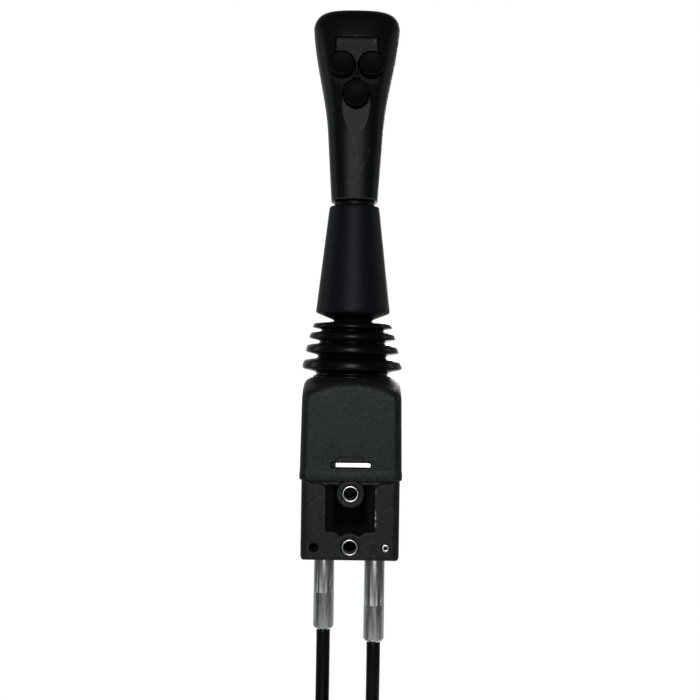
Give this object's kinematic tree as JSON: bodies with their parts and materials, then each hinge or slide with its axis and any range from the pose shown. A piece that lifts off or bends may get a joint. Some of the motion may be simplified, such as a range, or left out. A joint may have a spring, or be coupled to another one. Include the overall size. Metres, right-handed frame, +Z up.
{
  "type": "industrial joystick",
  "caption": "Two-axis cable joystick with a push-button hand grip, conical shroud, bellows and bolt-through base, with two push-pull cables coiled below.",
  "frame": {"origin": "on the base's rear mounting face, midway between the two bolt bores", "axes": "+X to the operator's right, +Y out of the mounting face, +Z up along the lever at rest"},
  "size_m": [0.1924, 0.0861, 0.645],
  "materials": {
    "cast": "black paint on a rough casting",
    "cover": "black, coarse moulded grain",
    "steel": "bright zinc plate",
    "fitting": "zinc plate with drawn streaks",
    "latch": "bright spring steel",
    "bronze": "sintered bronze",
    "rubber": "satin black rubber",
    "jacket": "black extruded jacket",
    "tie": "black nylon",
    "gimbal": "tumbled die casting",
    "shroud": "fine matt black",
    "grip": "satin black, fine grain",
    "switch": "dark grey moulding",
    "button": "satin black"
  },
  "bodies": {
    "root": {"base_body": "cast", "housing_cover": "cover", "cover_latch": "latch", "upper_mount_sleeve": "steel", "lower_mount_sleeve": "steel", "left_lock_pin": "steel", "right_lock_pin": "steel", "yoke_bushes": "bronze", "rocker_bushes": "bronze", "bellows": "rubber", "bellows_retainer": "steel", "retainer_screws": "steel", "left_cable_fitting": "fitting", "right_cable_fitting": "fitting", "left_cable": "jacket", "right_cable": "jacket", "left_cable_coil": "jacket", "right_cable_coil": "jacket", "left_cable_end": "jacket", "right_cable_end": "jacket", "coil_ties": "tie", "left_far_fitting": "fitting", "right_far_fitting": "fitting"},
    "yoke": {"gimbal_yoke": "gimbal", "yoke_pins": "steel", "hub_pin": "steel"},
    "side_rocker": {"side_rocker": "gimbal", "rocker_pins": "steel"},
    "lever": {"lever_hub": "gimbal", "lever_tail": "steel", "lever_tube": "steel", "lever_shroud": "shroud", "grip_lock_ring": "grip", "grip_front_shell": "grip", "grip_rear_shell": "grip", "grip_screws": "steel", "left_switch": "switch", "right_switch": "switch", "lower_switch": "switch", "left_button_spring": "steel", "right_button_spring": "steel", "lower_button_spring": "steel"},
    "left_button": {"left_button": "button"},
    "right_button": {"right_button": "button"},
    "lower_button": {"lower_button": "button"},
    "left_core": {"left_core_rod": "steel", "left_core_pin": "steel", "left_core_nut": "steel"},
    "right_core": {"right_core_rod": "steel", "right_core_pin": "steel", "right_core_nut": "steel"},
    "left_far_core": {"left_far_rod": "steel", "left_far_nuts": "steel"},
    "right_far_core": {"right_far_rod": "steel", "right_far_nuts": "steel"}
  },
  "joints": [
    {"name": "lever_fore_aft", "type": "hinge", "parent": "root", "child": "yoke", "pos_m": [0, -0.032, 0.071], "axis": [1, 0, 0], "range_deg": [-20, 20], "stiffness_Nm_per_rad": 8, "deforming": ["bellows"]},
    {"name": "lever_side", "type": "hinge", "parent": "yoke", "child": "lever", "pos_m": [0, -0.032, 0.071], "axis": [0, 1, 0], "range_deg": [-20, 20], "stiffness_Nm_per_rad": 8, "deforming": ["bellows"]},
    {"name": "rocker_turn", "type": "hinge", "parent": "root", "child": "side_rocker", "pos_m": [0, -0.032, 0.071], "axis": [0, 1, 0], "range_deg": [-20.5, 20.5]},
    {"name": "left_core_slide", "type": "slide", "parent": "root", "child": "left_core", "axis": [0, 0, 1], "range_m": [-0.006, 0.006]},
    {"name": "right_core_slide", "type": "slide", "parent": "root", "child": "right_core", "axis": [0, 0, 1], "range_m": [-0.006, 0.006]},
    {"name": "left_far_slide", "type": "slide", "parent": "root", "child": "left_far_core", "axis": [0, 0, 1], "range_m": [-0.006, 0.006]},
    {"name": "right_far_slide", "type": "slide", "parent": "root", "child": "right_far_core", "axis": [0, 0, 1], "range_m": [-0.006, 0.006]},
    {"name": "left_button_press", "type": "slide", "parent": "lever", "child": "left_button", "axis": [0, 0.9848, -0.1736], "range_m": [0, 0.002], "stiffness_N_per_m": 1200, "springref_m": -0.001, "deforming": ["left_button_spring"]},
    {"name": "right_button_press", "type": "slide", "parent": "lever", "child": "right_button", "axis": [0, 0.9848, -0.1736], "range_m": [0, 0.002], "stiffness_N_per_m": 1200, "springref_m": -0.001, "deforming": ["right_button_spring"]},
    {"name": "lower_button_press", "type": "slide", "parent": "lever", "child": "lower_button", "axis": [0, 0.9848, -0.1736], "range_m": [0, 0.002], "stiffness_N_per_m": 1200, "springref_m": -0.001, "deforming": ["lower_button_spring"]}
  ],
  "couplings": [
    {"joint": "rocker_turn", "follows": "lever_side", "ratio": 1},
    {"joint": "right_core_slide", "follows": "lever_side", "m_per_rad": -0.0164},
    {"joint": "right_far_slide", "follows": "lever_side", "m_per_rad": -0.0164},
    {"joint": "left_core_slide", "follows": "lever_fore_aft", "m_per_rad": -0.0164},
    {"joint": "left_far_slide", "follows": "lever_fore_aft", "m_per_rad": -0.0164}
  ]
}
